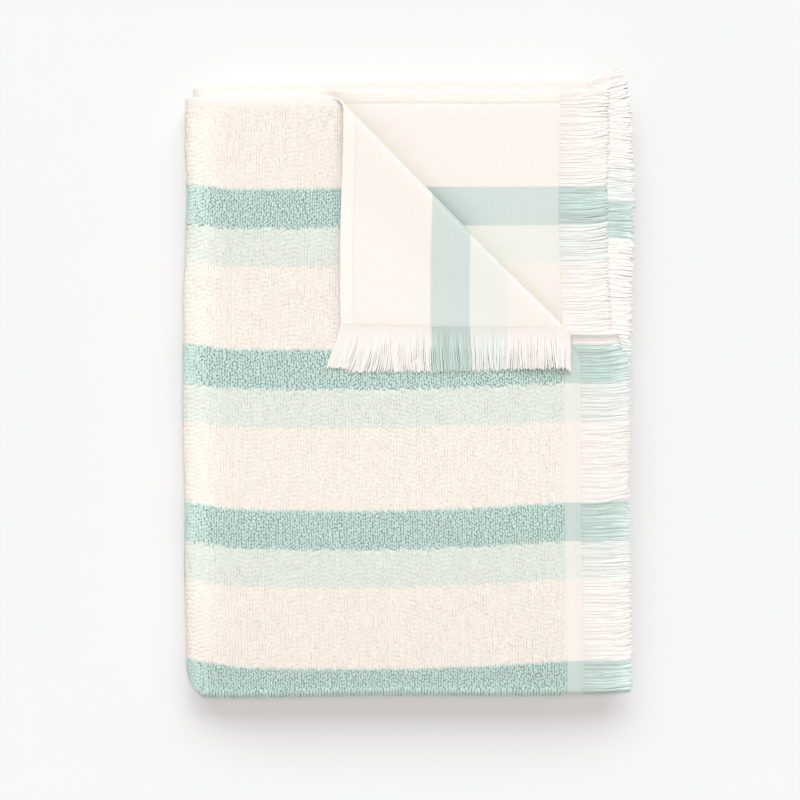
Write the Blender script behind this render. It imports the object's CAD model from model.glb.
import math

import bmesh
import bpy
import numpy as np
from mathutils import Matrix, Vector


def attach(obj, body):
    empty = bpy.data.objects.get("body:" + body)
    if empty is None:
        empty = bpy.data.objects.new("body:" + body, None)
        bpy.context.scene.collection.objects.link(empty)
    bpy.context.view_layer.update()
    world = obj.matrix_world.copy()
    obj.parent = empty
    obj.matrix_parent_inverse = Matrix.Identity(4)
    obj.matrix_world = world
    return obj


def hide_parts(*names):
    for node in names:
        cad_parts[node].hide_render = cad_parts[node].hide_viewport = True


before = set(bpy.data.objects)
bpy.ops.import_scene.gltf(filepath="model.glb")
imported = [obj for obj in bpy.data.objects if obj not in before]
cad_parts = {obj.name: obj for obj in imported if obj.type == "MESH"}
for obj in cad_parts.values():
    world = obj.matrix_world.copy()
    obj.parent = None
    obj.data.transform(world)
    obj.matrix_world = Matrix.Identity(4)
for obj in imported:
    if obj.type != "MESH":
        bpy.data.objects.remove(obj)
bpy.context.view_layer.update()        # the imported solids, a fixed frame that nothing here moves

print("beach towel: frame loaded")


# All in metres. A point of the flat towel has u along the warp from the first fringed end,
# v from selvedge to selvedge, and n through the cloth, positive on the pile side.

towel = {"length": 1.732, "width": 0.900, "band": 0.0126, "hem": 0.0096, "reverse": -0.0012}
folds = {"pitch": 0.003, "halfRadius": 0.0015, "crossRadius": 0.003, "leftRadius": 0.012,
         "rightRadius": 0.006, "crossAt": 0.445, "topPanel": 0.2769, "bottomPanel": 0.2696, "topLevel": 0.030,
         "baseGap": 0.0003, "innerSkew": 0.0022, "skewFade": 0.12, "slump": 0.26, "slumpReach": 0.034,
         "lowest": 0.0001}
turned = {"reach": 0.1889, "radius": 0.0045, "overhang": 0.0027, "height": 0.0031, "settle": 0.045,
          "drawnIn": 0.0086, "drawnAtCrease": 0.0056, "drawnFade": 0.014, "rollLines": 14, "settleLines": 4}
rounded = {"size": 0.0115, "largerBelow": 0.0225, "pastFold": 0.0087, "pastCross": 0.0010, "farthest": 1.2}
secondEndBack = ((0.00, 0.017), (0.40, 0.006), (0.50, 0.002), (0.64, 0.002), (0.72, -0.0055), (0.80, -0.0075),
                 (0.86, -0.0032), (0.90, -0.0032))      # (v, how far the second end lies back)
reach = {"first": ((0.0, 0.0022), (0.06, 0.0), (0.80, 0.0), (0.90, 0.0010)),        # (v, how far it lies up)
         "second": ((0.0, 0.0050), (0.065, 0.0), (0.70, 0.0), (0.77, 0.0108), (0.81, 0.0108), (0.86, 0.0050),
                    (0.90, 0.0027)),
         "firstFrom": 0.17, "firstTo": 0.21, "fadeFrom": 0.262, "fadeTo": 0.292}
wrapBulge = {"depth": ((0.0, 0.0036), (0.03, 0.0030), (0.075, 0.0004), (0.105, 0.0008), (0.15, 0.0026),
                       (0.23, 0.0040), (0.31, 0.0022), (0.36, 0.0036), (0.445, 0.0030)), "from": 0.225,
             "to": 0.285}
waves = {"x": ((0.0011, 13.0, 0.6), (0.0006, 31.0, 2.0)),       # each (depth, rate, start)
         "y": ((0.0012, 11.0, 1.9), (0.0005, 27.0, 0.0)),
         "swellX": (0.020, 12.0, 0.8), "swellY": (1.0, 10.5, 0.4), "slanted": (0.006, 17.0, 9.0)}
standsAt = np.array((0.12826, 0.21273, 0.0))       # from the folding frame to the solids' frame
creaseAtEnd = turned["reach"] - turned["drawnAtCrease"]
leftEnd = folds["topPanel"] + math.pi * folds["leftRadius"]
rightStart = leftEnd + folds["bottomPanel"]
rightEnd = rightStart + math.pi * folds["rightRadius"]
halfCrease = towel["length"] / 2 - math.pi * folds["halfRadius"] / 2
crossArc = math.pi * folds["crossRadius"] / 2


def smooth(value, start, end):
    t = np.clip((value - start) / (end - start), 0.0, 1.0)
    return t * t * (3 - 2 * t)


def fromTable(rows, at):        # smooth steps between the rows, each (place, value)
    result = np.full(np.shape(at), rows[0][1], float)
    for (low, first), (high, second) in zip(rows, rows[1:]):
        result = np.where(at > low, first + (second - first) * smooth(at, low, high), result)
    return result


def ripple(along, *rows):
    return sum(depth * np.sin(rate * along + start) for depth, rate, start in rows)


def halfTurn(along, out, start, radius):
    past = along - start
    angle = np.clip(past / radius, 0.0, math.pi)
    beyond = np.maximum(past - math.pi * radius, 0.0)
    arm = radius + out
    return start + np.minimum(past, 0.0) + arm * np.sin(angle) - beyond, arm * np.cos(angle)


def rollInThirds(s, q):
    back, out = halfTurn(s, q, folds["topPanel"], folds["leftRadius"])
    inward, outInside = halfTurn(s - rightStart, q, 0.0, folds["rightRadius"])
    inside = s >= rightStart
    level = folds["topLevel"] - folds["leftRadius"]
    x = np.where(inside, folds["bottomPanel"] - folds["topPanel"] + inward, -back)
    z = np.where(inside, level - folds["leftRadius"] + folds["rightRadius"] - outInside, level + out)
    return x, z


def turnBackCorner(x, y, z, n):
    past = (x + y + turned["reach"]) / math.sqrt(2)
    angle = np.clip(past / turned["radius"], 0.0, math.pi)
    flat = np.maximum(past - math.pi * turned["radius"], 0.0)
    now = (turned["overhang"] - n) * np.sin(angle) - flat
    lifted = z - n + turned["height"] - (turned["height"] - n) * np.cos(angle)
    lifted = lifted - (2 * turned["height"] - folds["pitch"]) * smooth(flat, 0.0, turned["settle"])
    shift = (now - past) / math.sqrt(2)
    return past > 0, x + shift, y + shift, lifted


# the folded corner at the wrap is round when seen from above, most of all low down
def roundLowerLeft(x, y, z):
    size = rounded["size"] + rounded["largerBelow"] * (1 - np.clip(z / folds["topLevel"], 0.0, 1.0))
    left = -folds["topPanel"] - folds["leftRadius"] - rounded["pastFold"]
    low = -folds["crossAt"] - rounded["pastCross"]
    across, down = (left + size - x) / size, (low + size - y) / size
    inside = (across > 0) & (down > 0)

    def onRound(way, other):        # from a square's side to a circle
        return way * np.sqrt(np.maximum(1 - np.clip(other, 0, rounded["farthest"]) ** 2 / 2, 0.0))

    return (np.where(inside, left + size - onRound(across, down) * size, x),
            np.where(inside, low + size - onRound(down, across) * size, y))


# where points of the flat towel, an array of (u, v, n), end up in the solids' frame
def foldTowel(flat):
    u, v, n = np.asarray(flat, float).T
    s, t = halfTurn(u, n, halfCrease, folds["halfRadius"])
    w, q = halfTurn(v, t, folds["crossAt"] - crossArc, folds["crossRadius"])
    x, z = rollInThirds(s, q)

    first, near = u < towel["length"] / 2, v < folds["crossAt"]
    drawn = np.interp(v, (0.0, creaseAtEnd), (turned["drawnIn"], turned["drawnAtCrease"]))
    drawn = drawn * (1 - smooth(v, creaseAtEnd, creaseAtEnd + turned["drawnFade"]))
    back = np.where(first, drawn, fromTable(secondEndBack, v))
    x = x - np.where(s < folds["topPanel"], back * (1 - np.maximum(s, 0.0) / folds["topPanel"]), 0.0)
    fade = np.where(first & near, smooth(s, reach["firstFrom"], reach["firstTo"]),
                    1 - smooth(s, reach["fadeFrom"], reach["fadeTo"]))
    y = -w + np.where(first, fromTable(reach["first"], v), fromTable(reach["second"], v)) * fade
    y = y + folds["innerSkew"] * smooth(s, folds["topPanel"], folds["topPanel"] + folds["skewFade"])
    z = z - folds["baseGap"]

    past, backX, backY, backZ = turnBackCorner(x, y, z, n)
    past = past & (u < folds["topPanel"]) & (v < folds["crossAt"] / 2)
    x, y, z = np.where(past, backX, x), np.where(past, backY, y), np.where(past, backZ, z)

    slump = np.hypot(x + folds["topPanel"] + folds["leftRadius"], y + folds["crossAt"]) / folds["slumpReach"]
    z = z * (1 - folds["slump"] * np.exp(-slump ** 2))
    x = x - fromTable(wrapBulge["depth"], -y) * smooth(-x, wrapBulge["from"], wrapBulge["to"])
    x, y = roundLowerLeft(x, y, z)
    depth, rate, slant = waves["slanted"]
    swell = ripple(x, waves["swellX"]) * ripple(y, waves["swellY"]) + ripple(y, (depth, rate, slant * x))
    z = np.maximum(z * (1 + swell), folds["lowest"])
    return np.stack((x + ripple(y, *waves["x"]), y + ripple(x, *waves["y"]), z), axis=1) + standsAt


stripes = {"start": 0.0675, "repeat": 0.1176, "dark": 0.0282, "light": 0.0282, "first": 0.0185,
           "last": 0.8795}
bow = {"sag": 0.0059, "full": 0.30, "from": 0.0134, "to": 0.3027, "pull": 0.0037, "pullFrom": 0.2508,
       "pullTo": 0.2968, "beforeFold": 0.004, "fade": 0.03}


# v for the stripe pattern: on the top layer the stripes sag in the middle and pull up at the wrap
def stripePlace(u, v):
    across = np.clip((u - bow["from"]) / (bow["to"] - bow["from"]), 0.0, 1.0)
    sag = bow["sag"] * np.clip(v / bow["full"], 0.0, 1.0) * np.sin(math.pi * across)
    pull = bow["pull"] * smooth(u, bow["pullFrom"], bow["pullTo"])
    pull = pull * (1 - smooth(u, leftEnd, leftEnd + bow["fade"]))
    top = 1 - smooth(v, folds["crossAt"] - bow["beforeFold"], folds["crossAt"] + bow["fade"])
    return np.clip(v - (sag - pull) * top, stripes["first"], stripes["last"])      # the edges stay cream


def addNode(tree, kind, inputs=None, **settings):
    node = tree.nodes.new(kind)
    for name, value in settings.items():
        setattr(node, name, value)
    for key, value in (inputs or {}).items():
        if isinstance(value, bpy.types.NodeSocket):
            tree.links.new(value, node.inputs[key])
        else:
            node.inputs[key].default_value = value
    return node


def calc(tree, operation, *values):
    return addNode(tree, "ShaderNodeMath", dict(enumerate(values)), operation=operation).outputs[0]


def product(tree, first, *others):
    for other in others:
        first = calc(tree, "MULTIPLY", first, other)
    return first


# low to high becomes first to last, and it stays at those outside
def mapRange(tree, value, low, high, first=0.0, last=1.0, easing="LINEAR"):
    return addNode(tree, "ShaderNodeMapRange", {0: value, 1: low, 2: high, 3: first, 4: last},
                   interpolation_type=easing).outputs[0]


def vector(tree, x=0.0, y=0.0, z=0.0):
    return addNode(tree, "ShaderNodeCombineXYZ", {0: x, 1: y, 2: z}).outputs[0]


def scaled(tree, value, factor):        # a vector times a number
    return addNode(tree, "ShaderNodeVectorMath", {0: value, 3: factor}, operation="SCALE").outputs[0]


def dice(tree, low, high, seed):
    return addNode(tree, "FunctionNodeRandomValue", {2: low, 3: high, 8: seed}).outputs[1]


def eitherWay(tree, most, seed):        # a random number from -most to most
    return dice(tree, calc(tree, "MULTIPLY", most, -1.0), most, seed)


def rootValue(tree, name):      # a root point's own number
    return addNode(tree, "GeometryNodeInputNamedAttribute", {0: name}, data_type="FLOAT").outputs[0]


def storeForEach(tree, geometry, name, value, kind="FLOAT"):        # one value for each loop or strand
    return addNode(tree, "GeometryNodeStoreNamedAttribute", {0: geometry, 2: name, 3: value}, data_type=kind,
                   domain="INSTANCE").outputs[0]


def newTree(name, inputs):      # a Geometry Nodes tree with named inputs
    tree = bpy.data.node_groups.new(name, "GeometryNodeTree")
    tree.interface.new_socket(name="Geometry", in_out="INPUT", socket_type="NodeSocketGeometry")
    tree.interface.new_socket(name="Geometry", in_out="OUTPUT", socket_type="NodeSocketGeometry")
    for label, kind in inputs.items():
        tree.interface.new_socket(name=label, in_out="INPUT", socket_type="NodeSocket" + kind)
    given = tree.nodes.new("NodeGroupInput").outputs
    return tree, given, tree.nodes.new("NodeGroupOutput")


def finishTree(tree, output, geometry, finish):
    realized = addNode(tree, "GeometryNodeRealizeInstances", {0: geometry}).outputs[0]
    shaded = addNode(tree, "GeometryNodeSetShadeSmooth", {0: realized}).outputs[0]
    painted = addNode(tree, "GeometryNodeSetMaterial", {0: shaded, 2: finish}).outputs[0]
    tree.links.new(painted, output.inputs[0])


# runs a tree on a mesh of root points and gives the result as a plain mesh
def grownMesh(name, base, tree, values):
    holder = bpy.data.objects.new(name + "Roots", base)
    bpy.context.scene.collection.objects.link(holder)
    modifier = holder.modifiers.new("growth", "NODES")
    modifier.node_group = tree
    for item in tree.interface.items_tree:
        if item.in_out == "INPUT" and item.name in values:
            modifier[item.identifier] = values[item.name]
    depsgraph = bpy.context.evaluated_depsgraph_get()
    made = bpy.data.meshes.new_from_object(holder.evaluated_get(depsgraph), preserve_all_data_layers=True,
                                           depsgraph=depsgraph)
    made.name = name
    bpy.data.objects.remove(holder)
    return made


def setPlaces(mesh, points):
    mesh.vertices.foreach_set("co", np.asarray(points, np.float32).ravel())
    mesh.update()


def rootPoints(name, points, **attributes):     # loose points with one float attribute for each name
    mesh = bpy.data.meshes.new(name)
    mesh.vertices.add(len(points))
    for label, values in attributes.items():
        mesh.attributes.new(label, "FLOAT", "POINT").data.foreach_set("value", np.asarray(values, np.float32))
    setPlaces(mesh, points)
    return mesh


def places(mesh):
    found = np.empty(len(mesh.vertices) * 3, np.float32)
    mesh.vertices.foreach_get("co", found)
    return found.reshape(-1, 3).astype(float)


def readVectors(mesh, name):
    attribute = mesh.attributes[name]
    found = np.empty(len(attribute.data) * 3, np.float32)
    attribute.data.foreach_get("vector", found)
    return found.reshape(-1, 3).astype(float)


def writeAttribute(mesh, name, values):
    kind, key = ("FLOAT_VECTOR", "vector") if values.ndim == 2 else ("FLOAT", "value")
    attribute = mesh.attributes.get(name) or mesh.attributes.new(name, kind, "POINT")
    attribute.data.foreach_set(key, np.asarray(values, np.float32).ravel())


def addPiece(name, mesh, slot, *nodes):
    piece = bpy.data.objects.new(name, mesh)
    bpy.context.scene.collection.objects.link(piece)
    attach(piece, "root")
    if nodes:
        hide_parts(*nodes)
    print(f"  {name}: {sum(len(face.vertices) - 2 for face in mesh.polygons)} triangles")
    return piece


yarnColours = {
    "pile": {"cream": (0.775, 0.706, 0.635), "dark": (0.503, 0.642, 0.594), "light": (0.638, 0.670, 0.607)},
    "pileDepth": {"cream": (0.93, 0.87, 0.79), "dark": (0.20, 0.32, 0.28), "light": (0.66, 0.71, 0.64)},
    "ground": {"cream": (0.75, 0.69, 0.62), "dark": (0.30, 0.42, 0.38), "light": (0.62, 0.66, 0.60)},
    "reverse": {"cream": (0.735, 0.69, 0.645), "dark": (0.515, 0.58, 0.545), "light": (0.68, 0.68, 0.63)},
    "band": {"cream": (0.725, 0.675, 0.63), "dark": (0.475, 0.545, 0.51), "light": (0.665, 0.66, 0.61)},
    "fringe": {"cream": (0.79, 0.745, 0.71), "dark": (0.51, 0.635, 0.585), "light": (0.71, 0.725, 0.69)}}
white = (1, 1, 1, 1)


def newMaterial(name, roughness=0.9, sheen=0.0, specular=0.2, sheenRoughness=0.6):
    made = bpy.data.materials.new(name)
    made.use_nodes = True
    shader = made.node_tree.nodes["Principled BSDF"]
    shader.inputs["Roughness"].default_value = roughness
    shader.inputs["Specular IOR Level"].default_value = specular
    shader.inputs["Sheen Weight"].default_value = sheen
    shader.inputs["Sheen Roughness"].default_value = sheenRoughness
    return made, made.node_tree, shader


def attributeValue(tree, name, kind="Fac"):
    return addNode(tree, "ShaderNodeAttribute", attribute_name=name).outputs[kind]


def greys(cream, dark, light):
    return {"cream": (cream,) * 3, "dark": (dark,) * 3, "light": (light,) * 3}


# the woven stripe's colour at this place, from the piece's own stripe attribute
def stripeColour(tree, colours, softness=0.0006):
    past = calc(tree, "SUBTRACT", attributeValue(tree, "stripe"), stripes["start"])
    share = calc(tree, "FRACT", calc(tree, "DIVIDE", past, stripes["repeat"]))
    ramp = addNode(tree, "ShaderNodeValToRGB", {0: share})
    soft = softness / stripes["repeat"]
    darkEnd = stripes["dark"] / stripes["repeat"]
    lightEnd = darkEnd + stripes["light"] / stripes["repeat"]
    stops = ((0.0, "dark"), (darkEnd - soft, "dark"), (darkEnd + soft, "light"), (lightEnd - soft, "light"),
             (lightEnd + soft, "cream"), (1.0 - 2 * soft, "cream"), (1.0, "dark"))
    elements = ramp.color_ramp.elements
    while len(elements) < len(stops):
        elements.new(0.5)
    for element, (position, yarn) in zip(elements, stops):
        element.position = position
        element.color = (*colours[yarn], 1.0)
    return ramp.outputs["Color"]


def mix(tree, share, first, second, way="MIX"):
    return addNode(tree, "ShaderNodeMix", {0: share, 6: first, 7: second}, data_type="RGBA",
                   blend_type=way).outputs[2]


def multiply(tree, first, second):
    return mix(tree, 1.0, first, second, "MULTIPLY")


def shade(tree, colour, amount):
    return multiply(tree, colour, addNode(tree, "ShaderNodeCombineColor", {
        0: amount, 1: amount, 2: amount}).outputs[0])


def spread(tree, value, low, high):     # 0 to 1 becomes low to high
    return calc(tree, "MULTIPLY_ADD", value, high - low, low)


def chanceOf(tree, home):       # a number from 0 to 1 for each loop or strand
    return addNode(tree, "ShaderNodeTexWhiteNoise", {0: home}, noise_dimensions="3D").outputs["Value"]


def noise(tree, place, scale, detail=2.0):      # three scales stretch the pattern
    if isinstance(scale, tuple):
        place, scale = addNode(tree, "ShaderNodeMapping", {"Vector": place, "Scale": scale}).outputs[0], 1.0
    return addNode(tree, "ShaderNodeTexNoise", {
        "Vector": place, "Scale": scale, "Detail": detail}).outputs["Fac"]


# the surface's normal, drawn towards the cloth's own where soft pale yarn evens out the light
def calmNormal(tree, height, look, turnsOver=0.2, stripeEdge=0.0012):
    lay = attributeValue(tree, "lay", "Vector")
    lay = addNode(tree, "ShaderNodeVectorTransform", {0: lay}, vector_type="NORMAL", convert_from="OBJECT",
                  convert_to="WORLD").outputs[0]
    own = addNode(tree, "ShaderNodeNewGeometry").outputs["Normal"]
    facing = addNode(tree, "ShaderNodeVectorMath", {0: own, 1: lay}, operation="DOT_PRODUCT").outputs["Value"]
    lay = scaled(tree, lay, mapRange(tree, facing, -turnsOver, turnsOver, -1.0, 1.0))
    calm = calc(tree, "MAXIMUM", stripeColour(tree, greys(*look["calm"]), stripeEdge),
                attributeValue(tree, "rim"))
    mixed = addNode(tree, "ShaderNodeMix", {0: calm, 4: own, 5: lay}, data_type="VECTOR").outputs[1]
    level = addNode(tree, "ShaderNodeVectorMath", {0: mixed}, operation="NORMALIZE").outputs[0]
    return addNode(tree, "ShaderNodeBump", {"Strength": look["bump"], "Distance": look["bumpDepth"],
                                            "Height": height, "Normal": level}).outputs[0]


# calm, paler, deeper and deepest are for the cream, the dark and the light stripes
terry = {"stripeEdge": 0.0012, "deepAt": 0.0001, "shallowAt": 0.0009, "perLoop": (0.96, 1.03),
         "clouds": (0.975, 1.025), "cloudScale": 60.0, "columns": (0.955, 1.045),
         "columnScale": (420.0, 45.0, 1.0), "paler": (0.17, 0.13, 0.17), "wrapFrom": 0.262, "wrapTo": 0.294,
         "foldFrom": 0.434, "foldTo": 0.446, "foldShare": 0.7, "deeper": (0.048, 0.095, 0.050),
         "deeperFrom": 0.28, "deeperTo": 0.43, "beside": 0.90, "besideFrom": 0.1785, "besideTo": 0.1850,
         "besideEnds": 0.150, "besideGone": 0.180, "twistScale": 2600.0, "bump": 0.3, "bumpDepth": 0.0003,
         "calm": (0.80, 0.20, 0.70)}


def pileMaterial():
    made, tree, shader = newMaterial("terryPile", roughness=1.0, sheen=0.3)
    flat = attributeValue(tree, "flatPlace", "Vector")
    along, across, through = addNode(tree, "ShaderNodeSeparateXYZ", {0: flat}).outputs
    loop = chanceOf(tree, attributeValue(tree, "home", "Vector"))
    cloud = noise(tree, flat, terry["cloudScale"], 3.0)
    column = noise(tree, flat, terry["columnScale"], 1.0)
    # the loops open round the folds and look paler there, and the lower part of the top is a little deeper
    wrapped = mapRange(tree, along, terry["wrapFrom"], terry["wrapTo"])
    folded = mapRange(tree, across, terry["foldFrom"], terry["foldTo"], 0.0, terry["foldShare"])
    most = stripeColour(tree, greys(*terry["paler"]), terry["stripeEdge"])
    paler = calc(tree, "MULTIPLY_ADD", calc(tree, "MAXIMUM", wrapped, folded), most, 1.0)
    low = mapRange(tree, across, terry["deeperFrom"], terry["deeperTo"])
    most = stripeColour(tree, greys(*terry["deeper"]), terry["stripeEdge"])
    deeper = calc(tree, "SUBTRACT", 1.0, calc(tree, "MULTIPLY", low, most))
    # soft shade beside the turned-back corner
    beside = mapRange(tree, along, terry["besideFrom"], terry["besideTo"], terry["beside"], 1.0, "SMOOTHSTEP")
    beside = calc(tree, "MAXIMUM", beside, mapRange(tree, across, terry["besideEnds"], terry["besideGone"]))
    amount = product(tree, spread(tree, loop, *terry["perLoop"]), spread(tree, cloud, *terry["clouds"]),
                     spread(tree, column, *terry["columns"]), paler, deeper, beside)
    # light deep in the pile takes on the yarn's colour
    deep = mapRange(tree, through, terry["deepAt"], terry["shallowAt"], 1.0, 0.0)
    colour, depth = (stripeColour(tree, yarnColours[name], terry["stripeEdge"])
                     for name in ("pile", "pileDepth"))
    tree.links.new(shade(tree, mix(tree, deep, colour, depth), amount), shader.inputs["Base Color"])
    tree.links.new(calmNormal(tree, noise(tree, flat, terry["twistScale"]), terry), shader.inputs["Normal"])
    return made


weave = {"hemTint": (1.035, 1.040, 1.035, 1), "hemLine": 0.62, "seamAt": 0.0080, "seamWidth": 0.00022,
         "stitch": 0.0030, "stitchShare": 0.70, "stitchShade": 0.95, "stitchHeight": 0.5,
         "tuckedReach": 0.0072, "nearEnd": 0.25, "rolledShade": 0.82, "warpScale": (90.0, 900.0, 1.0),
         "weftScale": (900.0, 90.0, 1.0), "threads": (0.97, 1.0), "bump": 0.28, "bumpDepth": 0.0004,
         "tucked": {"cream": (0.81, 0.78, 0.73), "dark": (0.58, 0.63, 0.62), "light": (0.81, 0.81, 0.76)}}


# soft shade on the second layer beside the turned-back corner's crease, and how steep the crease's own roll is
def besideCrease(tree, along, across):
    def firstStep(rows):        # no place beside the crease is past the table's second row
        (low, first), (high, last) = rows[:2]
        return mapRange(tree, across, low, high, first, last, "SMOOTHSTEP")

    def past(fromEnd, back, lift):      # how far past the fold line a place lies, before the corner is turned
        inward = calc(tree, "MULTIPLY_ADD", fromEnd, calc(tree, "DIVIDE", back, -folds["topPanel"]), back)
        out = calc(tree, "SUBTRACT", calc(tree, "ADD", calc(tree, "ADD", fromEnd, inward), across), lift)
        return calc(tree, "MULTIPLY", calc(tree, "SUBTRACT", turned["reach"], out), math.sqrt(0.5))

    fromSecond = calc(tree, "SUBTRACT", towel["length"], along)
    far = past(fromSecond, firstStep(secondEndBack), firstStep(reach["second"]))
    far = calc(tree, "ABSOLUTE", calc(tree, "SUBTRACT", far, turned["overhang"] - towel["reverse"]))
    tucked = calc(tree, "EXPONENT", calc(tree, "DIVIDE", far, -weave["tuckedReach"]))
    tucked = calc(tree, "MULTIPLY", tucked, calc(tree, "LESS_THAN", fromSecond, weave["nearEnd"]))
    near = past(along, mapRange(tree, across, 0.0, creaseAtEnd, turned["drawnIn"], turned["drawnAtCrease"]),
                0.0)
    angle = calc(tree, "MINIMUM", calc(tree, "MAXIMUM", calc(tree, "DIVIDE", near, turned["radius"]), 0.0),
                 math.pi)
    rolled = calc(tree, "MULTIPLY", calc(tree, "SINE", angle), calc(tree, "LESS_THAN", along, weave["nearEnd"]))
    return tucked, rolled


# the woven ground: between the loops, on the hems and bands, and on the flat reverse
def clothMaterial():
    made, tree, shader = newMaterial("towelCloth", roughness=0.95, sheen=0.15)
    flat = attributeValue(tree, "flatPlace", "Vector")
    along, across = addNode(tree, "ShaderNodeSeparateXYZ", {0: flat}).outputs[:2]
    side, woven, hemmed = (attributeValue(tree, name) for name in ("side", "woven", "hemmed"))
    reverse, band, ground = (stripeColour(tree, yarnColours[name]) for name in ("reverse", "band", "ground"))
    colour = mix(tree, side, reverse, mix(tree, woven, ground, band))
    # a hem is double cloth, so paler and less see-through, with a line of stitches
    colour = multiply(tree, colour, mix(tree, hemmed, white, weave["hemTint"]))
    hemLine = calc(tree, "MULTIPLY", hemmed, calc(tree, "SUBTRACT", 1.0, hemmed))
    colour = shade(tree, colour, spread(tree, hemLine, 1.0, weave["hemLine"]))
    inside = calc(tree, "MINIMUM", across, calc(tree, "SUBTRACT", towel["width"], across))
    onSeam = calc(tree, "COMPARE", inside, weave["seamAt"], weave["seamWidth"])
    onYarn = calc(tree, "LESS_THAN", calc(tree, "FRACT", calc(tree, "DIVIDE", along, weave["stitch"])),
                  weave["stitchShare"])
    stitch = calc(tree, "MULTIPLY", onSeam, onYarn)
    colour = shade(tree, colour, spread(tree, stitch, 1.0, weave["stitchShade"]))
    tucked, rolled = besideCrease(tree, along, across)
    colour = multiply(tree, colour, mix(tree, tucked, white, stripeColour(tree, weave["tucked"])))
    colour = shade(tree, colour, spread(tree, rolled, 1.0, weave["rolledShade"]))
    # threads: long thin noise along the warp and across it
    threads = calc(tree, "ADD", noise(tree, flat, weave["warpScale"]), noise(tree, flat, weave["weftScale"]))
    threads = calc(tree, "ADD", threads, calc(tree, "MULTIPLY", stitch, weave["stitchHeight"]))
    tree.links.new(shade(tree, colour, spread(tree, threads, *weave["threads"])), shader.inputs["Base Color"])
    bump = addNode(tree, "ShaderNodeBump", {"Strength": weave["bump"], "Distance": weave["bumpDepth"],
                                            "Height": threads}).outputs[0]
    tree.links.new(bump, shader.inputs["Normal"])
    return made


strandLook = {"deepest": (0.96, 0.74, 0.88), "palest": 1.03, "apartFrom": 0.001, "apartTo": 0.013,
              "rootedTo": 0.016, "cutFrom": 0.020, "cutTo": 0.0350, "fibreScale": (1200.0, 2600.0, 2600.0),
              "bump": 0.3, "bumpDepth": 0.0003, "calm": (0.95, 0.60, 0.72),
              "ends": {"cream": (0.82, 0.78, 0.75), "dark": (0.72, 0.83, 0.79), "light": (0.78, 0.81, 0.78)}}


def fringeMaterial():
    made, tree, shader = newMaterial("fringeYarn", roughness=0.9, sheen=0.2)
    flat = attributeValue(tree, "flatPlace", "Vector")
    strand = chanceOf(tree, attributeValue(tree, "home", "Vector"))
    tone, hugging, faded = (attributeValue(tree, name) for name in ("tone", "rooted", "faded"))
    # near the root the yarns run together in the band's colour, and their cut ends are a little paler
    free = calc(tree, "MULTIPLY", addNode(tree, "ShaderNodeSeparateXYZ", {0: flat}).outputs[0], -1.0)
    rooted = calc(tree, "MULTIPLY", mapRange(tree, free, 0.0, strandLook["rootedTo"], 1.0, 0.0), hugging)
    cutEnd = mapRange(tree, free, strandLook["cutFrom"], strandLook["cutTo"], easing="SMOOTHSTEP")
    cutEnd = calc(tree, "MULTIPLY", cutEnd, faded)
    colour = mix(tree, rooted, stripeColour(tree, yarnColours["fringe"]),
                 stripeColour(tree, yarnColours["band"]))
    colour = mix(tree, cutEnd, colour, stripeColour(tree, strandLook["ends"]))
    deepest = stripeColour(tree, greys(*strandLook["deepest"]))
    middle = calc(tree, "MULTIPLY_ADD", deepest, 0.5, strandLook["palest"] / 2)
    amount = calc(tree, "MULTIPLY_ADD", strand, calc(tree, "SUBTRACT", strandLook["palest"], deepest), deepest)
    apart = mapRange(tree, free, strandLook["apartFrom"], strandLook["apartTo"])
    amount = calc(tree, "MULTIPLY_ADD", calc(tree, "SUBTRACT", amount, middle), apart, middle)
    tree.links.new(shade(tree, colour, calc(tree, "MULTIPLY", amount, tone)), shader.inputs["Base Color"])
    fibres = noise(tree, flat, strandLook["fibreScale"])
    tree.links.new(calmNormal(tree, fibres, strandLook), shader.inputs["Normal"])
    return made


pileFinish, clothFinish, fringeFinish = pileMaterial(), clothMaterial(), fringeMaterial()

cloth = {"ground": -0.0001, "bandTop": 0.0002, "bandFade": 0.0016, "bandStep": 0.002, "fine": 0.009,
         "coarse": 0.020, "hemTop": 0.0008, "hemFrom": 0.0004, "hemTo": 0.0008, "hemEase": 0.0012,
         "lip": 0.0002, "edgeRadius": 0.0010, "endEase": 0.0026, "endThinner": 0.55, "thinnest": 0.2,
         "ribs": 5, "ribPitch": 0.0011, "ribHeight": 0.00016, "ribsFrom": 0.0008, "ribLinesTo": 0.0066,
         "ribLines": 20, "leftLines": 18, "rightLines": 14, "crossLines": 14, "pucker": 0.00012,
         "puckerRate": 700.0, "puckerDrift": 2.0, "driftRate": 90.0, "grooveWidth": 0.0006,
         "grooveDepth": 0.0003, "reverseGroove": 0.0004, "reverseShare": 0.5}


def lines(*stretches):          # line positions from stretches of (start, end, steps)
    found = []
    for start, end, count in stretches:
        found += [start + (end - start) * k / count for k in range(count)]
    return found + [stretches[-1][1]]


def steps(start, end, size):
    return start, end, max(1, round((end - start) / size))


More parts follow.
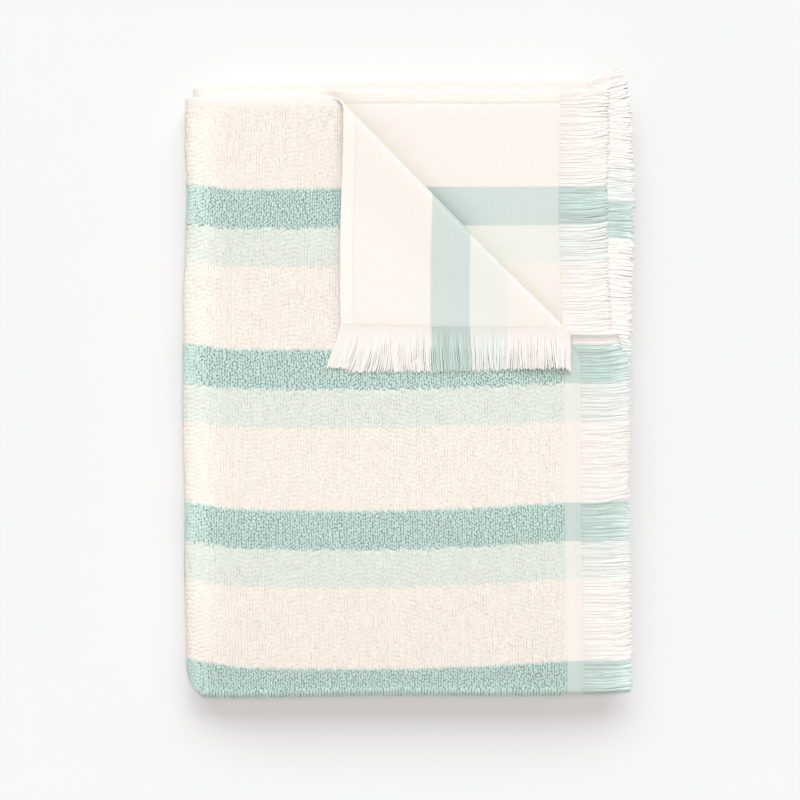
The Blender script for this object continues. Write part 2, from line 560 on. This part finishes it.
def clothLines():
    edge = ((0.0, cloth["lip"], 1), (cloth["lip"], cloth["edgeRadius"], 2))
    ribs = (cloth["edgeRadius"], cloth["ribLinesTo"], cloth["ribLines"])
    toPile = towel["band"] + cloth["bandFade"]
    first = lines(*edge, ribs, steps(cloth["ribLinesTo"], towel["band"], cloth["bandStep"]),
                  (towel["band"], toPile, 2), steps(toPile, folds["topPanel"], cloth["fine"]),
                  (folds["topPanel"], leftEnd, cloth["leftLines"]), steps(leftEnd, rightStart, cloth["coarse"]),
                  (rightStart, rightEnd, cloth["rightLines"]), steps(rightEnd, halfCrease, cloth["coarse"]))
    half = lines((halfCrease, towel["length"] - halfCrease, 5))[1:-1]
    columns = first + half + [towel["length"] - u for u in reversed(first)]
    hemIn, hemOut = towel["hem"] - cloth["hemEase"], towel["hem"] + cloth["hemEase"]
    hem = (*edge, (cloth["edgeRadius"], hemIn, 3), (hemIn, hemOut, 5))
    hemLines = lines(*hem)
    crossFrom, crossTo = folds["crossAt"] - crossArc, folds["crossAt"] + crossArc
    near = lines(*hem, steps(hemOut, crossFrom, cloth["fine"]), (crossFrom, crossTo, cloth["crossLines"]))
    far = lines(steps(crossTo, towel["width"] - hemLines[-1], cloth["coarse"]))
    return columns, near + far[1:] + [towel["width"] - v for v in reversed(hemLines)][1:]


# the reverse and the pile side of the ground cloth, and how far a place is hem or band
def clothLevels(u, v):
    fromEnd, fromSelvedge = np.minimum(u, towel["length"] - u), np.minimum(v, towel["width"] - v)
    onBand = 1 - smooth(fromEnd, towel["band"], towel["band"] + cloth["bandFade"])
    onHem = 1 - smooth(fromSelvedge, towel["hem"] - cloth["hemFrom"], towel["hem"] + cloth["hemTo"])
    top = cloth["ground"] + (cloth["bandTop"] - cloth["ground"]) * onBand
    top = top + (cloth["hemTop"] - top) * onHem
    ribbed = (fromEnd > cloth["ribsFrom"]) & (fromEnd < cloth["ribsFrom"] + cloth["ribs"] * cloth["ribPitch"])
    ribTurn = 2 * math.pi * (fromEnd - cloth["ribsFrom"]) / cloth["ribPitch"]
    rib = np.where(ribbed, cloth["ribHeight"] * np.cos(ribTurn), 0.0)
    drift = cloth["puckerDrift"] * np.sin(u * cloth["driftRate"])
    pucker = cloth["pucker"] * np.sin(u * cloth["puckerRate"] + drift) * onHem
    groove = np.exp(-((fromSelvedge - towel["hem"]) / cloth["grooveWidth"]) ** 2)
    top = top + rib + pucker - cloth["grooveDepth"] * groove
    bottom = towel["reverse"] + cloth["reverseGroove"] * groove
    bottom = bottom - pucker * cloth["reverseShare"] - rib * cloth["reverseShare"]
    middle = (top + bottom) / 2
    edge = np.clip(1 - fromSelvedge / cloth["edgeRadius"], 0.0, 1.0)
    endEdge = np.clip(1 - fromEnd / cloth["endEase"], 0.0, 1.0)      # thinner towards the fringe
    fullness = np.maximum(np.sqrt(1 - edge ** 2), cloth["thinnest"]) * (1 - cloth["endThinner"] * endEdge ** 2)
    return (middle + (bottom - middle) * fullness, middle + (top - middle) * fullness,
            np.maximum(onBand, onHem), onHem)


def cutCreaseLines(bm):         # edges along the turned-back corner's crease, so that it bends smoothly
    squeeze = 1 - turned["drawnIn"] / folds["topPanel"]
    slant = 1 + (turned["drawnAtCrease"] - turned["drawnIn"]) / creaseAtEnd
    roll = math.pi * turned["radius"]
    for past in lines((0.0, roll, turned["rollLines"]), (roll, roll + turned["settle"], turned["settleLines"])):
        bmesh.ops.bisect_plane(bm, geom=bm.verts[:] + bm.edges[:] + bm.faces[:],
                               plane_co=(0, creaseAtEnd - past * math.sqrt(2) / slant, 0),
                               plane_no=(squeeze, slant, 0))


def clothMesh():
    columns, rows = clothLines()
    bm = bmesh.new()
    bmesh.ops.create_grid(bm, x_segments=len(columns) - 1, y_segments=len(rows) - 1, size=0.5)
    for vert in bm.verts:
        vert.co = (columns[round((vert.co.x + 0.5) * (len(columns) - 1))],
                   rows[round((vert.co.y + 0.5) * (len(rows) - 1))], 0.0)
    cutCreaseLines(bm)
    for item in bmesh.ops.extrude_face_region(bm, geom=bm.faces[:])["geom"]:
        if isinstance(item, bmesh.types.BMVert):
            item.co.z = 1.0
    bmesh.ops.recalc_face_normals(bm, faces=bm.faces)
    if bm.calc_volume(signed=True) < 0:
        bmesh.ops.reverse_faces(bm, faces=bm.faces)
    for face in bm.faces:
        face.smooth = True
    mesh = bpy.data.meshes.new("towelCloth")
    bm.to_mesh(mesh)
    bm.free()
    flat = places(mesh)
    side = flat[:, 2].round()       # 0 on the reverse, 1 on the pile side
    bottom, top, woven, hemmed = clothLevels(flat[:, 0], flat[:, 1])
    flat[:, 2] = np.where(side > 0.5, top, bottom)
    writeAttribute(mesh, "flatPlace", flat)
    writeAttribute(mesh, "side", side)
    writeAttribute(mesh, "woven", woven)        # 1 on the hems and bands
    writeAttribute(mesh, "hemmed", hemmed)
    writeAttribute(mesh, "stripe", stripePlace(flat[:, 0], flat[:, 1]))
    corners = np.empty(len(mesh.loops), np.int32)
    mesh.loops.foreach_get("vertex_index", corners)
    mesh.uv_layers.new(name="clothUV").data.foreach_set("uv", flat[corners, :2].astype(np.float32).ravel())
    setPlaces(mesh, foldTowel(flat))
    mesh.materials.append(clothFinish)
    return mesh


clothPiece = addPiece("towel_cloth_weave", clothMesh(), "terry_cotton", "towel_cloth")


# handles: how far above a loop's feet its curve's handles stand, in heights
# widths, lengths and heights: factors of the loop's own size
pile = {"fromEnd": 0.0140, "fromSelvedge": 0.0100, "wrapTo": 0.3120, "lowerFold": 0.4403, "upperTo": 0.2000,
        "middleTo": 0.3200, "foldAcross": 0.8670, "foldTo": 0.4497, "covered": (0.026, 0.168),
        "coveredAcross": (0.022, 0.160), "darkPitch": (0.00175, 0.0026), "palePitch": (0.0021, 0.0034),
        "stripeRoom": 0.01, "stepOutside": 0.0015, "stepInside": 0.0005, "sunk": 0.0001, "height": 0.0010,
        "handles": 1.35, "footSpread": 0.0029, "yarnWidth": 0.00122, "yarnThickness": 0.0010,
        "widths": (0.85, 1.1), "lengths": (0.8, 1.2), "heights": (0.8, 1.1), "wander": 0.0003, "turn": 0.50,
        "lean": 0.32, "paleWider": 0.72, "paleLonger": 0.42, "paleCalmer": 0.80, "calmAtWrap": 0.25,
        "calmFrom": 0.270, "calmTo": 0.296, "strayColour": 0.0004, "rimLift": 1.1, "rimCalm": 0.85,
        "rimRise": 1.5, "seed": 11}
pileZones = (   # (name, u from, u to, v from, v to, column pitch, loop pitch, unevenness)
    ("pile_top_upper", pile["fromEnd"], folds["topPanel"], pile["fromSelvedge"], pile["upperTo"],
     1.0, 1.0, 1.0),
    ("pile_top_middle", pile["fromEnd"], folds["topPanel"], pile["upperTo"], pile["middleTo"], 1.0, 1.0, 1.0),
    ("pile_top_lower", pile["fromEnd"], folds["topPanel"], pile["middleTo"], pile["lowerFold"], 1.0, 1.0, 1.0),
    ("pile_wrap", folds["topPanel"], pile["wrapTo"], pile["fromSelvedge"], pile["lowerFold"], 0.85, 1.0, 0.8),
    ("pile_right_fold", rightStart, rightEnd, pile["fromSelvedge"], pile["lowerFold"], 0.80, 1.15, 0.7),
    ("pile_lower_folds", pile["fromEnd"], pile["foldAcross"], pile["lowerFold"], pile["foldTo"],
     1.25, 0.60, 0.7))


def loopTree():
    tree, given, output = newTree("terryLoops", {
        "Loop Height": "Float", "Foot Spread": "Float", "Yarn Width": "Float", "Yarn Thickness": "Float",
        "Wander": "Float", "Turn": "Float", "Lean": "Float", "Pale Wider": "Float", "Pale Longer": "Float",
        "Pale Calmer": "Float", "Seed": "Int"})
    foot = calc(tree, "MULTIPLY", given["Foot Spread"], 0.5)
    backFoot = calc(tree, "MULTIPLY", foot, -1.0)
    handle = calc(tree, "MULTIPLY", given["Loop Height"], pile["handles"])
    arch = addNode(tree, "GeometryNodeCurvePrimitiveBezierSegment", {
        0: 3, 1: vector(tree, 0.0, backFoot, 0.0), 2: vector(tree, 0.0, backFoot, handle),
        3: vector(tree, 0.0, foot, handle), 4: vector(tree, 0.0, foot, 0.0)}).outputs[0]
    yarn = addNode(tree, "GeometryNodeCurvePrimitiveQuadrilateral", {
        "Width": given["Yarn Width"], "Height": given["Yarn Thickness"]}).outputs[0]
    loop = addNode(tree, "GeometryNodeCurveToMesh", {0: arch, 1: yarn, 3: True}).outputs[0]
    seed = [calc(tree, "ADD", given["Seed"], float(k)) for k in range(8)]
    pale = rootValue(tree, "pale")
    loose = calc(tree, "SUBTRACT", 1.0, calc(tree, "MULTIPLY", pale, given["Pale Calmer"]))
    wander = vector(tree, *(eitherWay(tree, given["Wander"], seed[k]) for k in (0, 1)))
    moved = addNode(tree, "GeometryNodeSetPosition", {
        0: given["Geometry"], 3: scaled(tree, wander, loose)}).outputs[0]
    pose = vector(tree, eitherWay(tree, given["Lean"], seed[2]), eitherWay(tree, given["Lean"], seed[3]),
                  eitherWay(tree, given["Turn"], seed[4]))
    wider = calc(tree, "MULTIPLY_ADD", pale, given["Pale Wider"], dice(tree, *pile["widths"], seed[5]))
    longer = calc(tree, "MULTIPLY_ADD", pale, given["Pale Longer"], dice(tree, *pile["lengths"], seed[6]))
    size = vector(tree, wider, longer, dice(tree, *pile["heights"], seed[7]))
    loops = addNode(tree, "GeometryNodeInstanceOnPoints", {
        0: moved, 2: loop, 5: scaled(tree, pose, loose), 6: size})
    place = addNode(tree, "GeometryNodeInputPosition").outputs[0]
    finishTree(tree, output, storeForEach(tree, loops.outputs[0], "home", place, "FLOAT_VECTOR"), pileFinish)
    return tree


# root points in columns across the stripes, none where the turned-back corner hides them
def loopRoots(uFrom, uTo, vFrom, vTo, pitch):
    columnPitch, loopPitch = pitch
    columns, across = round((uTo - uFrom) / columnPitch), round(folds["crossAt"] / loopPitch) + 4
    u = uFrom + (uTo - uFrom) * (np.arange(columns) + 0.5) / columns
    v = pile["fromSelvedge"] + (np.arange(across) - 0.5) * loopPitch
    gridU, gridV = np.meshgrid(u, v, indexing="ij")
    random = np.random.default_rng(pile["seed"])
    gridV = gridV + random.uniform(-0.5, 0.5, (len(u), 1)) * loopPitch
    u, v = gridU.ravel(), gridV.ravel()
    v = np.where(v > pile["fromSelvedge"] - loopPitch / 2, np.maximum(v, pile["fromSelvedge"]), v)
    (fromEnd, toEnd), (fromSide, toSide) = pile["covered"], pile["coveredAcross"]
    covered = (u < toEnd) & (v < toSide) & (u > fromEnd) & (v > fromSide)
    points = np.stack((u, v, np.full(u.shape, cloth["ground"] - pile["sunk"])), axis=1)
    return points[(v >= vFrom) & (v < vTo) & ~covered]


# a number from 0 to 1 for each loop or strand, the same at all of its points
def chance(home):
    return np.modf(np.abs(np.sin(home[:, 0] * 9134.57 + home[:, 1] * 4785.33)) * 4375.85)[0]


def paleness(u, v):             # 0 in the dark stripes, 1 in the others, with a short step at each edge
    room, outside, inside, end = pile["stripeRoom"], pile["stepOutside"], pile["stepInside"], stripes["dark"]
    into = (stripePlace(u, v) - stripes["start"] + room) % stripes["repeat"] - room
    return 1 - smooth(into, -outside, inside) * (1 - smooth(into, end - inside, end + outside))


def clothNormals(flat):         # the way through the cloth at these places, towards the pile side
    small = np.array((0.0, 0.0, 0.0002))
    through = foldTowel(flat + small) - foldTowel(flat - small)
    return through / np.maximum(np.linalg.norm(through, axis=1, keepdims=True), 1e-9)


terryLoops = loopTree()
for index, (name, uFrom, uTo, vFrom, vTo, columnShare, loopShare, uneven) in enumerate(pileZones):
    share = np.array((columnShare, loopShare))
    pale = loopRoots(uFrom, uTo, vFrom, vTo, pile["palePitch"] * share)
    dark = loopRoots(uFrom, uTo, vFrom, vTo, pile["darkPitch"] * share)
    rootPlaces = np.concatenate((pale[paleness(*pale[:, :2].T) >= 0.5], dark[paleness(*dark[:, :2].T) < 0.5]))
    calmer = 1 - uneven
    if uTo <= pile["wrapTo"]:       # the loops lie more evenly towards the wrap and round it
        calmer = pile["calmAtWrap"] * smooth(rootPlaces[:, 0], pile["calmFrom"], pile["calmTo"])
    roots = rootPoints(name, rootPlaces, pale=np.maximum(paleness(*rootPlaces[:, :2].T), calmer))
    loops = grownMesh(name, roots, terryLoops, {
        "Loop Height": pile["height"], "Foot Spread": pile["footSpread"], "Yarn Width": pile["yarnWidth"],
        "Yarn Thickness": pile["yarnThickness"], "Wander": pile["wander"] * uneven,
        "Turn": pile["turn"] * uneven, "Lean": pile["lean"] * uneven, "Pale Wider": pile["paleWider"],
        "Pale Longer": pile["paleLonger"], "Pale Calmer": pile["paleCalmer"], "Seed": pile["seed"] + index * 10})
    flat, home = places(loops), readVectors(loops, "home")
    writeAttribute(loops, "flatPlace", flat)
    stray = (chance(home) - 0.5) * 2 * pile["strayColour"]
    writeAttribute(loops, "stripe", stripePlace(home[:, 0], (home[:, 1] + flat[:, 1]) / 2) + stray)
    lay = clothNormals(home)       # on the folds' sides the standing loops still catch the light from above
    rim = (1 - np.abs(lay[:, 2])) * smooth(lay[:, 2], -0.5, 0.0)
    lay[:, 2] += pile["rimLift"] * rim
    writeAttribute(loops, "lay", lay)
    writeAttribute(loops, "rim", pile["rimCalm"] * np.minimum(rim * pile["rimRise"], 1.0))
    setPlaces(loops, foldTowel(flat))
    addPiece(name, loops, "terry_cotton")
print("beach towel: pile grown")


# a lock is a bundle of strands that run together; sizes come first, and from shift on it is their unevenness
fringe = {"pitch": 0.00115, "hemShare": 0.6, "width": 0.0016, "hemWidth": 0.86, "thickness": 0.0009,
          "length": 0.0345, "inside": 0.0010, "rings": 9, "rowDepth": 0.0009, "lock": 0.0060, "taper": 0.22,
          "taperPower": 4.0, "easeFrom": 0.05, "easeTo": 0.60, "bend": 2.2, "hemBend": 1.15, "lift": 0.00016,
          "liftBeat": 7.0, "beat": (3.0, 6.0), "turnMost": 6.283, "droopTo": 1.2, "outLevel": 0.15,
          "besideCrease": 0.0008, "freeFrom": 0.001, "freeTo": 0.010, "shift": 0.2, "lockSpread": (0.5, 1.5),
          "lockLean": 0.00032, "lockPhase": 0.4, "knotsBefore": 0.01, "knotsPast": 0.02, "gather": 0.06,
          "gatherReach": 0.004, "drift": 0.0011, "strayLean": 0.00015, "swings": (0.1, 1.0),
          "straySwing": 0.15, "strayPhase": 0.12, "longest": 1.02, "strayLevel": 0.00012, "splayed": 0.12,
          "seed": 40}
hanging = {"rows": (1.0, 1.0), "level": -0.0001, "under": -1, "fine": 0.94, "tone": 1.0, "rooted": 0.5,
           "swing": 0.0017, "phase": (-0.5, 0.8), "knots": 0.014}
combs = (   # lean: (v, how far a tip leans along the end); cut: (v, share of the full length)
    {"name": "fringe_corner", "end": 0, "from": 0.0006, "to": 0.1730, "droop": 0.0012, "rows": (1.0, 1.05),
     "level": -0.0004, "under": 1, "fine": 0.60, "tone": 1.01, "rooted": 0.9, "faded": 0.1, "swing": 0.0010,
     "phase": (0.0, 5.0), "knots": 0.008, "creamWider": 0.03, "shortest": 0.955, "splay": 0.0,
     "lean": ((0.000, -0.0112), (0.0092, -0.0066), (0.0108, -0.0100), (0.0200, -0.0078), (0.0290, -0.0060),
              (0.0430, -0.0012), (0.0560, 0.0), (0.1450, 0.0), (0.1740, 0.0004)),
     "cut": ((0.0, 0.93), (0.010, 0.94), (0.014, 1.03), (0.060, 1.00), (0.100, 0.97), (0.140, 0.91),
             (0.17, 0.88))},
    {**hanging, "name": "fringe_top", "end": 0, "from": 0.1740, "to": 0.4440, "droop": 0.0060, "faded": 0.75,
     "creamWider": 0.24, "shortest": 0.945, "splay": 0.0004, "cut": ((0.0, 1.06), (1.0, 1.06)),
     "lean": ((0.17, 0.0), (0.20, -0.0012), (0.30, -0.0012), (0.33, 0.0), (0.43, 0.0), (0.4440, 0.001))},
    {**hanging, "name": "fringe_bottom", "end": 0, "from": 0.4460, "to": 0.8994, "droop": 0.0085, "faded": 0.75,
     "creamWider": 0.24, "shortest": 0.945, "splay": 0.0004, "cut": ((0.0, 1.0), (1.0, 1.0)),
     "lean": ((0.45, 0.0), (0.88, 0.0), (0.90, 0.003))},
    {**hanging, "name": "fringe_second", "end": 1, "from": 0.0006, "to": 0.4440, "droop": 0.0033, "fine": 0.88,
     "tone": 1.01, "faded": 0.3, "creamWider": 0.30, "shortest": 0.94, "splay": 0.001,
     "cut": ((0.0, 1.06), (1.0, 1.06)),
     "lean": ((0.0, -0.0016), (0.04, -0.0022), (0.055, -0.0036), (0.075, -0.0010), (0.44, 0.0))},
    {**hanging, "name": "fringe_third", "end": 1, "from": 0.4460, "to": 0.8994, "droop": 0.0075, "tone": 1.06,
     "faded": 0.55, "creamWider": 0.36, "shortest": 0.9, "splay": 0.0011,
     "lean": ((0.45, 0.0), (0.78, 0.0), (0.80, 0.0016), (0.82, 0.0), (0.86, 0.0), (0.885, 0.0036),
              (0.8930, 0.0070), (0.90, 0.0102)),
     "cut": ((0.0, 1.0), (0.866, 1.0), (0.880, 0.98), (0.8905, 0.88), (0.894, 0.80), (0.90, 0.76))})


# root points become strands along -x, one unit of x for each metre of flat length
def strandTree():
    tree, given, output = newTree("fringeStrands", {
        "Yarn Width": "Float", "Yarn Thickness": "Float", "Taper": "Float", "Lift": "Float", "Rings": "Int",
        "Seed": "Int"})
    line = addNode(tree, "GeometryNodeCurvePrimitiveLine", {0: (0.0, 0.0, 0.0), 1: (-1.0, 0.0, 0.0)}).outputs[0]
    line = addNode(tree, "GeometryNodeResampleCurve", {0: line, 2: given["Rings"]}).outputs[0]
    size = vector(tree, rootValue(tree, "reach"), 1.0, 1.0)
    strands = addNode(tree, "GeometryNodeInstanceOnPoints", {0: given["Geometry"], 2: line, 6: size}).outputs[0]
    place = addNode(tree, "GeometryNodeInputPosition").outputs[0]
    strands = storeForEach(tree, strands, "home", place, "FLOAT_VECTOR")
    strands = storeForEach(tree, strands, "rise", dice(tree, 0.0, fringe["turnMost"], given["Seed"]))
    curves = addNode(tree, "GeometryNodeRealizeInstances", {0: strands}).outputs[0]
    along = addNode(tree, "GeometryNodeSplineParameter").outputs[0]
    lean = calc(tree, "MULTIPLY", rootValue(tree, "lean"), calc(tree, "POWER", along, rootValue(tree, "bend")))
    turn = calc(tree, "MULTIPLY_ADD", along, rootValue(tree, "beat"), rootValue(tree, "phase"))
    sideWave = product(tree, calc(tree, "SINE", turn), rootValue(tree, "swing"), along)
    turn = calc(tree, "MULTIPLY_ADD", along, fringe["liftBeat"], rootValue(tree, "rise"))
    upWave = product(tree, calc(tree, "SINE", turn), given["Lift"], along)
    offset = vector(tree, 0.0, calc(tree, "ADD", lean, sideWave), upWave)
    waved = addNode(tree, "GeometryNodeSetPosition", {0: curves, 3: offset}).outputs[0]
    level = addNode(tree, "GeometryNodeSetCurveNormal", {0: waved}, mode="Z_UP").outputs[0]
    thinner = calc(tree, "MULTIPLY", calc(tree, "POWER", along, fringe["taperPower"]), given["Taper"])
    narrower = calc(tree, "SUBTRACT", rootValue(tree, "wide"), 1.0)     # from the root's to the free width
    eased = mapRange(tree, along, fringe["easeFrom"], fringe["easeTo"])
    width = calc(tree, "MULTIPLY", calc(tree, "SUBTRACT", 1.0, thinner),
                 calc(tree, "MULTIPLY_ADD", narrower, eased, 1.0))
    yarn = addNode(tree, "GeometryNodeCurvePrimitiveQuadrilateral", {
        "Width": given["Yarn Width"], "Height": given["Yarn Thickness"]}).outputs[0]
    tubes = addNode(tree, "GeometryNodeCurveToMesh", {0: level, 1: yarn, 2: width, 3: True}).outputs[0]
    finishTree(tree, output, tubes, fringeFinish)
    return tree


def creaminess(v):              # 1 in the cream stripes, 0 in the others
    into = (stripePlace(np.zeros(v.shape), v) - stripes["start"]) % stripes["repeat"]
    return np.where(into > stripes["dark"] + stripes["light"], 1.0, 0.0)


def inHem(v):
    return np.minimum(v, towel["width"] - v) < towel["hem"]


# roots along one stretch in two rows, with each strand's length and lean
def strandRoots(comb, seed):
    random = np.random.default_rng(seed)
    rows = []
    for row, share in enumerate(comb["rows"]):
        v, place = [], comb["from"] + row * fringe["pitch"] / 2
        while place < comb["to"]:
            v.append(place)
            place += fringe["pitch"] * (fringe["hemShare"] if inHem(place) else share)
        v = np.array(v)
        shift = random.uniform(-fringe["shift"], fringe["shift"], v.shape) * fringe["pitch"]
        v = np.clip(v + shift, comb["from"], comb["to"])
        knots = np.arange(comb["from"] - fringe["knotsBefore"], comb["to"] + fringe["knotsPast"], comb["knots"])

        def smoothRandom(low, high):        # changes slowly from strand to strand
            return np.interp(v, knots, random.uniform(low, high, knots.shape))

        def stray(size):
            return random.normal(0.0, size, v.shape)

        # always enough locks for the stretch
        count = int((comb["to"] - comb["from"]) / fringe["lock"] * 1.6) + 3
        borders = np.cumsum(fringe["lock"] * random.uniform(*fringe["lockSpread"], count))
        borders = comb["from"] - fringe["lock"] / 2 + borders - borders[0]
        lock = np.clip(np.searchsorted(borders, v) - 1, 0, len(borders) - 2)
        toCentre = (borders[lock] + borders[lock + 1]) / 2 - v
        lockLean = random.normal(0.0, fringe["lockLean"], len(borders))[lock]
        lean = fromTable(comb["lean"], v) + smoothRandom(-1, 1) * fringe["drift"] + lockLean
        lean = lean + np.clip(toCentre, -fringe["gatherReach"], fringe["gatherReach"]) * fringe["gather"]
        lean = lean + stray(fringe["strayLean"])
        swing = comb["swing"] * smoothRandom(*fringe["swings"]) * (1 + stray(fringe["straySwing"]))
        phase = smoothRandom(*comb["phase"]) + stray(fringe["strayPhase"])
        phase = phase + random.uniform(-fringe["lockPhase"], fringe["lockPhase"], len(borders))[lock]
        length = fringe["length"] * fromTable(comb["cut"], v)
        length = length * random.uniform(comb["shortest"], fringe["longest"], v.shape)
        level = comb["level"] + random.uniform(-fringe["strayLevel"], fringe["strayLevel"], v.shape)
        level = level + row * comb["under"] * fringe["rowDepth"]
        apart = (random.uniform(0, 1, v.shape) < fringe["splayed"]) * ~inHem(v)
        lean = lean + apart * stray(1.0) * comb["splay"]
        bend = np.where(inHem(v), fringe["hemBend"], fringe["bend"])
        wide = np.where(inHem(v), fringe["hemWidth"], comb["fine"]) + comb["creamWider"] * creaminess(v)
        rows.append(np.stack((v, level, lean, swing, phase, smoothRandom(*fringe["beat"]), length, bend, wide)))
    v, level, lean, swing, phase, beat, length, bend, wide = np.concatenate(rows, axis=1)
    return rootPoints(comb["name"], np.stack((np.zeros(v.shape), v, level), axis=1), lean=lean, reach=length,
                      swing=swing, phase=phase, beat=beat, bend=bend, wide=wide)


# the end's root at v, and the ways out of it, along it and through the cloth
def endFrame(end, v):
    small = 0.0001
    u = towel["length"] if end else 0.0
    inward = -small if end else small

    def at(uAt, vAt, nAt=0.0):
        return foldTowel(np.stack((np.full(v.shape, uAt), vAt, np.full(v.shape, nAt)), axis=1))

    # beside the crease the strands follow the flat cloth on their own side of it
    calm = v.copy()
    if not end:
        bend = math.pi * turned["radius"] * math.sqrt(2)
        low, high = creaseAtEnd - bend - fringe["besideCrease"], creaseAtEnd + fringe["besideCrease"]
        middle = (low + high) / 2
        calm = np.where((v > low) & (v < middle), low, np.where((v >= middle) & (v < high), high, v))
    out = at(u, calm) - at(u + inward, calm)
    out[:, 2] *= fringe["outLevel"]
    along = at(u, calm + small) - at(u, calm - small)
    through = at(u, calm, small) - at(u, calm, -small)
    return [at(u, v)] + [way / np.linalg.norm(way, axis=1, keepdims=True) for way in (out, along, through)]


def placeStrands(mesh, comb):
    flat, home = places(mesh), readVectors(mesh, "home")
    root, out, along, through = endFrame(comb["end"], home[:, 1])
    away = -flat[:, 0] - fringe["inside"]          # the strands start inside the cloth's edge
    side = flat[:, 1] - home[:, 1]
    points = root + out * away[:, None] + along * side[:, None] + through * flat[:, 2:3]
    points[:, 2] -= comb["droop"] * np.clip(away / fringe["length"], 0.0, fringe["droopTo"]) ** 2
    points[:, 2] = np.maximum(points[:, 2], folds["lowest"])
    writeAttribute(mesh, "flatPlace", flat)
    up = np.where(through[:, 2:3] < 0, -1.0, 1.0) * np.array((0.0, 0.0, 1.0))
    # free yarn has no side of its own
    loose = smooth(away, fringe["freeFrom"], fringe["freeTo"])[:, None]
    writeAttribute(mesh, "lay", through + (up - through) * loose)
    for label in ("tone", "rooted", "faded"):
        writeAttribute(mesh, label, np.full(len(home), comb[label]))
    u = np.full(len(home), towel["length"] if comb["end"] else 0.0)
    writeAttribute(mesh, "stripe", stripePlace(u, home[:, 1]))
    setPlaces(mesh, points)


fringeStrands = strandTree()
for index, comb in enumerate(combs):
    seed = fringe["seed"] + index * 10
    strands = grownMesh(comb["name"] + "_yarn", strandRoots(comb, seed), fringeStrands, {
        "Yarn Width": fringe["width"], "Yarn Thickness": fringe["thickness"], "Taper": fringe["taper"],
        "Lift": fringe["lift"], "Rings": fringe["rings"], "Seed": seed})
    placeStrands(strands, comb)
    addPiece(comb["name"] + "_yarn", strands, "fringe_yarn", comb["name"])
print("beach towel: fringe grown")


studio = {"floorSize": 8.0, "floorColour": (0.70, 0.70, 0.70), "floorGap": 0.0002, "skyHigh": 0.28,
          "skyLow": 2.40, "skyEdge": 0.26, "skyTint": (1.0, 0.995, 0.985), "centre": (-0.0075, -0.0121),
          "frameWidth": 0.5936, "distance": 1.9, "packTop": 0.036, "sensor": 36.0, "farthest": 50.0}
softLights = (   # distant lamps: (name, strength, spread in degrees, direction it comes from, colour)
    ("overheadSoft", 1.72, 20.0, (0.02, 0.05, 1.00), (1.070, 0.985, 0.940)),
    ("keyFromLeft", 0.96, 40.0, (-0.36, 1.10, 1.00), (0.916, 1.021, 1.082)),
    ("keyFromRight", 1.30, 40.0, (0.36, 1.10, 1.00), (0.916, 1.021, 1.082)))


def addFloor():
    half = studio["floorSize"] / 2
    mesh = bpy.data.meshes.new("floor")
    corners = [(-half, -half, 0), (half, -half, 0), (half, half, 0), (-half, half, 0)]
    mesh.from_pydata(corners, [], [(0, 1, 2, 3)])
    made, tree, shader = newMaterial("paleFloor")
    shader.inputs["Base Color"].default_value = (*studio["floorColour"], 1.0)
    mesh.materials.append(made)
    floor = bpy.data.objects.new("floor", mesh)
    floor.location.z = -studio["floorGap"]
    bpy.context.scene.collection.objects.link(floor)


def addLight():
    world = bpy.data.worlds.new("studio")
    world.use_nodes = True
    tree = world.node_tree        # a pale room: bright round the horizon, dimmer overhead
    direction = addNode(tree, "ShaderNodeTexCoord").outputs["Generated"]
    height = addNode(tree, "ShaderNodeSeparateXYZ", {0: direction}).outputs[2]
    sky = mapRange(tree, height, 0.0, studio["skyEdge"], studio["skyLow"], studio["skyHigh"])
    tree.links.new(sky, tree.nodes["Background"].inputs["Strength"])
    tree.nodes["Background"].inputs["Color"].default_value = (*studio["skyTint"], 1.0)
    bpy.context.scene.world = world
    for name, strength, spreadAngle, comesFrom, tint in softLights:
        lamp = bpy.data.lights.new(name, "SUN")
        lamp.energy, lamp.angle, lamp.color = strength, math.radians(spreadAngle), tint
        light = bpy.data.objects.new(name, lamp)
        light.rotation_euler = Vector(comesFrom).to_track_quat("Z", "Y").to_euler()
        bpy.context.scene.collection.objects.link(light)


def addCamera():
    lens = bpy.data.cameras.new("overhead")
    lens.sensor_width = studio["sensor"]
    lens.lens = studio["sensor"] * studio["distance"] / studio["frameWidth"]
    lens.clip_end = studio["farthest"]
    camera = bpy.data.objects.new("overhead", lens)
    camera.location = (*studio["centre"], studio["packTop"] + studio["distance"])
    bpy.context.scene.collection.objects.link(camera)
    bpy.context.scene.camera = camera


addFloor()
addLight()
addCamera()
bpy.context.scene.view_settings.view_transform = "Standard"
